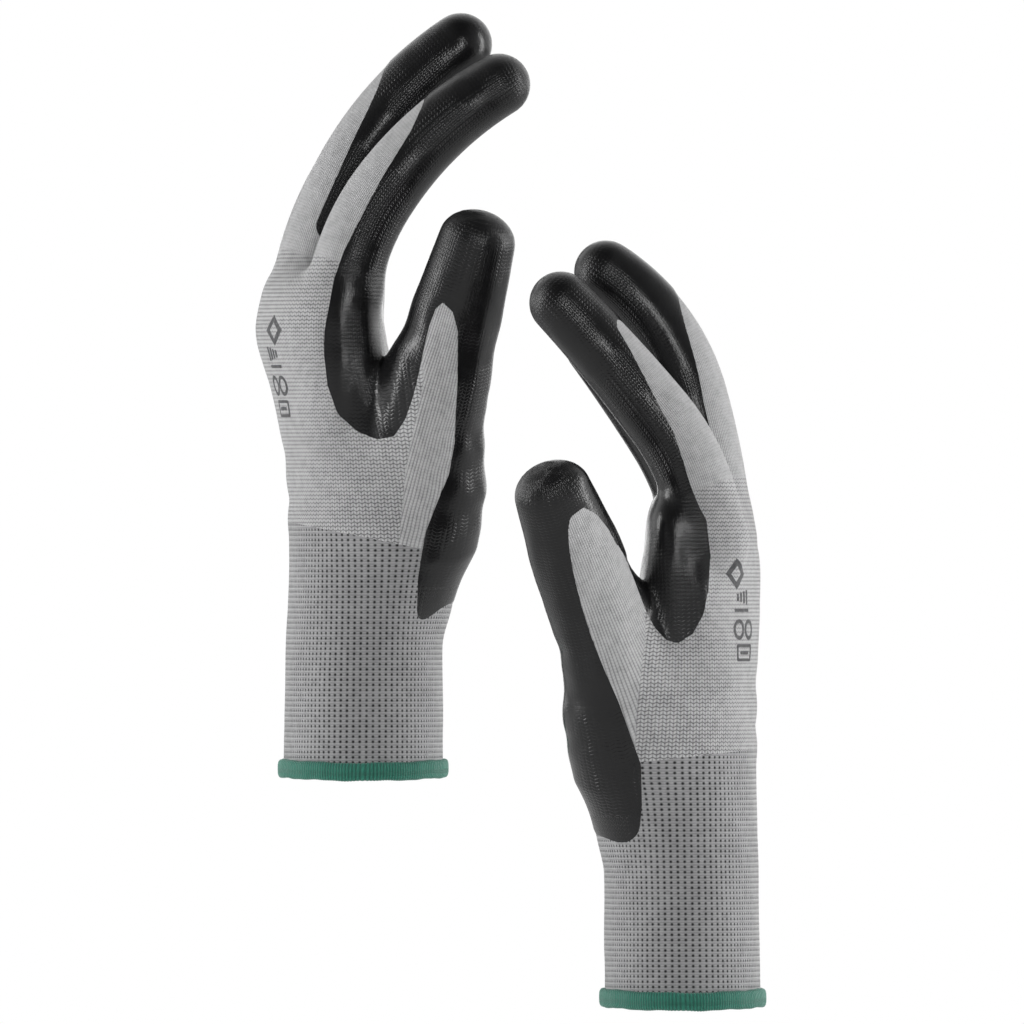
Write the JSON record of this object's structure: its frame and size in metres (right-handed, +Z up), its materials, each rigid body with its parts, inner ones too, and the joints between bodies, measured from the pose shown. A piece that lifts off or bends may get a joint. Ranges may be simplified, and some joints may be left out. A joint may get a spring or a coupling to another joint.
{
  "type": "work gloves",
  "caption": "Pair of seamless knitted work gloves, filled as worn with fingers up: grey knit, black dipped palm and fingers, elastic ribbed cuffs with green overlocked hems.",
  "frame": {"origin": "centre of the left glove's cuff opening, at the lower edge of its hem", "axes": "+Z up along the cuff towards the fingers, +X out of the left palm, -Y the side of the thumbs"},
  "size_m": [0.1587, 0.2395, 0.3089],
  "materials": {
    "knit": "light grey nylon jersey knit",
    "knit_cuff": "grey elastic rib knit",
    "hem": "teal green overlock thread",
    "coat": "black nitrile dip, semi-gloss, the knit printing through",
    "print": "dark heat-pressed ink"
  },
  "bodies": {
    "left_hand": {"left_cuff": "knit_cuff", "left_hem": "hem", "left_palm_liner": "knit", "left_palm_coat": "coat", "left_back_print": "print"},
    "left_index_base": {"left_index_base_liner": "knit", "left_index_base_coat": "coat"},
    "left_index_tip": {"left_index_tip_liner": "knit", "left_index_tip_coat": "coat"},
    "left_middle_base": {"left_middle_base_liner": "knit", "left_middle_base_coat": "coat"},
    "left_middle_tip": {"left_middle_tip_liner": "knit", "left_middle_tip_coat": "coat"},
    "left_ring_base": {"left_ring_base_liner": "knit", "left_ring_base_coat": "coat"},
    "left_ring_tip": {"left_ring_tip_liner": "knit", "left_ring_tip_coat": "coat"},
    "left_little_base": {"left_little_base_liner": "knit", "left_little_base_coat": "coat"},
    "left_little_tip": {"left_little_tip_liner": "knit", "left_little_tip_coat": "coat"},
    "left_thumb_base": {"left_thumb_base_liner": "knit", "left_thumb_base_coat": "coat"},
    "left_thumb_tip": {"left_thumb_tip_liner": "knit", "left_thumb_tip_coat": "coat"},
    "right_hand": {"right_cuff": "knit_cuff", "right_hem": "hem", "right_palm_liner": "knit", "right_palm_coat": "coat", "right_back_print": "print"},
    "right_index_base": {"right_index_base_liner": "knit", "right_index_base_coat": "coat"},
    "right_index_tip": {"right_index_tip_liner": "knit", "right_index_tip_coat": "coat"},
    "right_middle_base": {"right_middle_base_liner": "knit", "right_middle_base_coat": "coat"},
    "right_middle_tip": {"right_middle_tip_liner": "knit", "right_middle_tip_coat": "coat"},
    "right_ring_base": {"right_ring_base_liner": "knit", "right_ring_base_coat": "coat"},
    "right_ring_tip": {"right_ring_tip_liner": "knit", "right_ring_tip_coat": "coat"},
    "right_little_base": {"right_little_base_liner": "knit", "right_little_base_coat": "coat"},
    "right_little_tip": {"right_little_tip_liner": "knit", "right_little_tip_coat": "coat"},
    "right_thumb_base": {"right_thumb_base_liner": "knit", "right_thumb_base_coat": "coat"},
    "right_thumb_tip": {"right_thumb_tip_liner": "knit", "right_thumb_tip_coat": "coat"}
  },
  "joints": [
    {"name": "right_glove_lift", "type": "slide", "parent": "left_hand", "child": "right_hand", "axis": [0, 0, 1], "range_m": [0, 0.0706]},
    {"name": "left_index_root", "type": "hinge", "parent": "left_hand", "child": "left_index_base", "pos_m": [-0.0056, -0.0321, 0.15935], "axis": [0, 1, 0], "range_deg": [-15, 30], "stiffness_Nm_per_rad": 0.02},
    {"name": "left_index_middle", "type": "hinge", "parent": "left_index_base", "child": "left_index_tip", "pos_m": [0.00595, -0.03283, 0.18468], "axis": [0, 1, 0], "range_deg": [-15, 30], "stiffness_Nm_per_rad": 0.02},
    {"name": "left_middle_root", "type": "hinge", "parent": "left_hand", "child": "left_middle_base", "pos_m": [-0.0146, -0.0099, 0.16143], "axis": [0, 1, 0], "range_deg": [-15, 30], "stiffness_Nm_per_rad": 0.02},
    {"name": "left_middle_middle", "type": "hinge", "parent": "left_middle_base", "child": "left_middle_tip", "pos_m": [-0.00352, -0.0099, 0.1903], "axis": [0, 1, 0], "range_deg": [-15, 30], "stiffness_Nm_per_rad": 0.02},
    {"name": "left_ring_root", "type": "hinge", "parent": "left_hand", "child": "left_ring_base", "pos_m": [-0.0144, 0.0121, 0.16064], "axis": [0, 1, 0], "range_deg": [-15, 30], "stiffness_Nm_per_rad": 0.02},
    {"name": "left_ring_middle", "type": "hinge", "parent": "left_ring_base", "child": "left_ring_tip", "pos_m": [-0.00451, 0.01286, 0.1878], "axis": [0, 1, 0], "range_deg": [-15, 30], "stiffness_Nm_per_rad": 0.02},
    {"name": "left_little_root", "type": "hinge", "parent": "left_hand", "child": "left_little_base", "pos_m": [-0.0046, 0.0331, 0.15724], "axis": [0, 1, 0], "range_deg": [-15, 30], "stiffness_Nm_per_rad": 0.02},
    {"name": "left_little_middle", "type": "hinge", "parent": "left_little_base", "child": "left_little_tip", "pos_m": [0.00267, 0.03451, 0.17897], "axis": [0, 1, 0], "range_deg": [-15, 30], "stiffness_Nm_per_rad": 0.02},
    {"name": "left_thumb_root", "type": "hinge", "parent": "left_hand", "child": "left_thumb_base", "pos_m": [0.0242, -0.0438, 0.13017], "axis": [0.9613, 0, -0.2756], "range_deg": [-30, 10], "stiffness_Nm_per_rad": 0.02},
    {"name": "left_thumb_middle", "type": "hinge", "parent": "left_thumb_base", "child": "left_thumb_tip", "pos_m": [0.02909, -0.05061, 0.14722], "axis": [0.9613, 0, -0.2756], "range_deg": [-30, 10], "stiffness_Nm_per_rad": 0.02},
    {"name": "right_index_root", "type": "hinge", "parent": "right_hand", "child": "right_index_base", "pos_m": [0.1054, -0.1521, 0.08875], "axis": [0, -1, 0], "range_deg": [-15, 30], "stiffness_Nm_per_rad": 0.02},
    {"name": "right_index_middle", "type": "hinge", "parent": "right_index_base", "child": "right_index_tip", "pos_m": [0.09277, -0.15283, 0.11354], "axis": [0, -1, 0], "range_deg": [-15, 30], "stiffness_Nm_per_rad": 0.02},
    {"name": "right_middle_root", "type": "hinge", "parent": "right_hand", "child": "right_middle_base", "pos_m": [0.1095, -0.1299, 0.09083], "axis": [0, -1, 0], "range_deg": [-15, 30], "stiffness_Nm_per_rad": 0.02},
    {"name": "right_middle_middle", "type": "hinge", "parent": "right_middle_base", "child": "right_middle_tip", "pos_m": [0.10359, -0.1299, 0.12125], "axis": [0, -1, 0], "range_deg": [-15, 30], "stiffness_Nm_per_rad": 0.02},
    {"name": "right_ring_root", "type": "hinge", "parent": "right_hand", "child": "right_ring_base", "pos_m": [0.1092, -0.1079, 0.09004], "axis": [0, -1, 0], "range_deg": [-15, 30], "stiffness_Nm_per_rad": 0.02},
    {"name": "right_ring_middle", "type": "hinge", "parent": "right_ring_base", "child": "right_ring_tip", "pos_m": [0.1017, -0.10714, 0.11802], "axis": [0, -1, 0], "range_deg": [-15, 30], "stiffness_Nm_per_rad": 0.02},
    {"name": "right_little_root", "type": "hinge", "parent": "right_hand", "child": "right_little_base", "pos_m": [0.1022, -0.0869, 0.08664], "axis": [0, -1, 0], "range_deg": [-15, 30], "stiffness_Nm_per_rad": 0.02},
    {"name": "right_little_middle", "type": "hinge", "parent": "right_little_base", "child": "right_little_tip", "pos_m": [0.09215, -0.08549, 0.10725], "axis": [0, -1, 0], "range_deg": [-15, 30], "stiffness_Nm_per_rad": 0.02},
    {"name": "right_thumb_root", "type": "hinge", "parent": "right_hand", "child": "right_thumb_base", "pos_m": [0.0712, -0.1638, 0.05956], "axis": [0.9397, 0, 0.342], "range_deg": [-30, 10], "stiffness_Nm_per_rad": 0.02},
    {"name": "right_thumb_middle", "type": "hinge", "parent": "right_thumb_base", "child": "right_thumb_tip", "pos_m": [0.06563, -0.17358, 0.07486], "axis": [0.9397, 0, 0.342], "range_deg": [-30, 10], "stiffness_Nm_per_rad": 0.02}
  ],
  "couplings": [
    {"joint": "left_index_middle", "follows": "left_index_root", "ratio": 1},
    {"joint": "left_middle_middle", "follows": "left_middle_root", "ratio": 1},
    {"joint": "left_ring_middle", "follows": "left_ring_root", "ratio": 1},
    {"joint": "left_little_middle", "follows": "left_little_root", "ratio": 1},
    {"joint": "left_thumb_middle", "follows": "left_thumb_root", "ratio": 1},
    {"joint": "right_index_middle", "follows": "right_index_root", "ratio": 1},
    {"joint": "right_middle_middle", "follows": "right_middle_root", "ratio": 1},
    {"joint": "right_ring_middle", "follows": "right_ring_root", "ratio": 1},
    {"joint": "right_little_middle", "follows": "right_little_root", "ratio": 1},
    {"joint": "right_thumb_middle", "follows": "right_thumb_root", "ratio": 1}
  ]
}
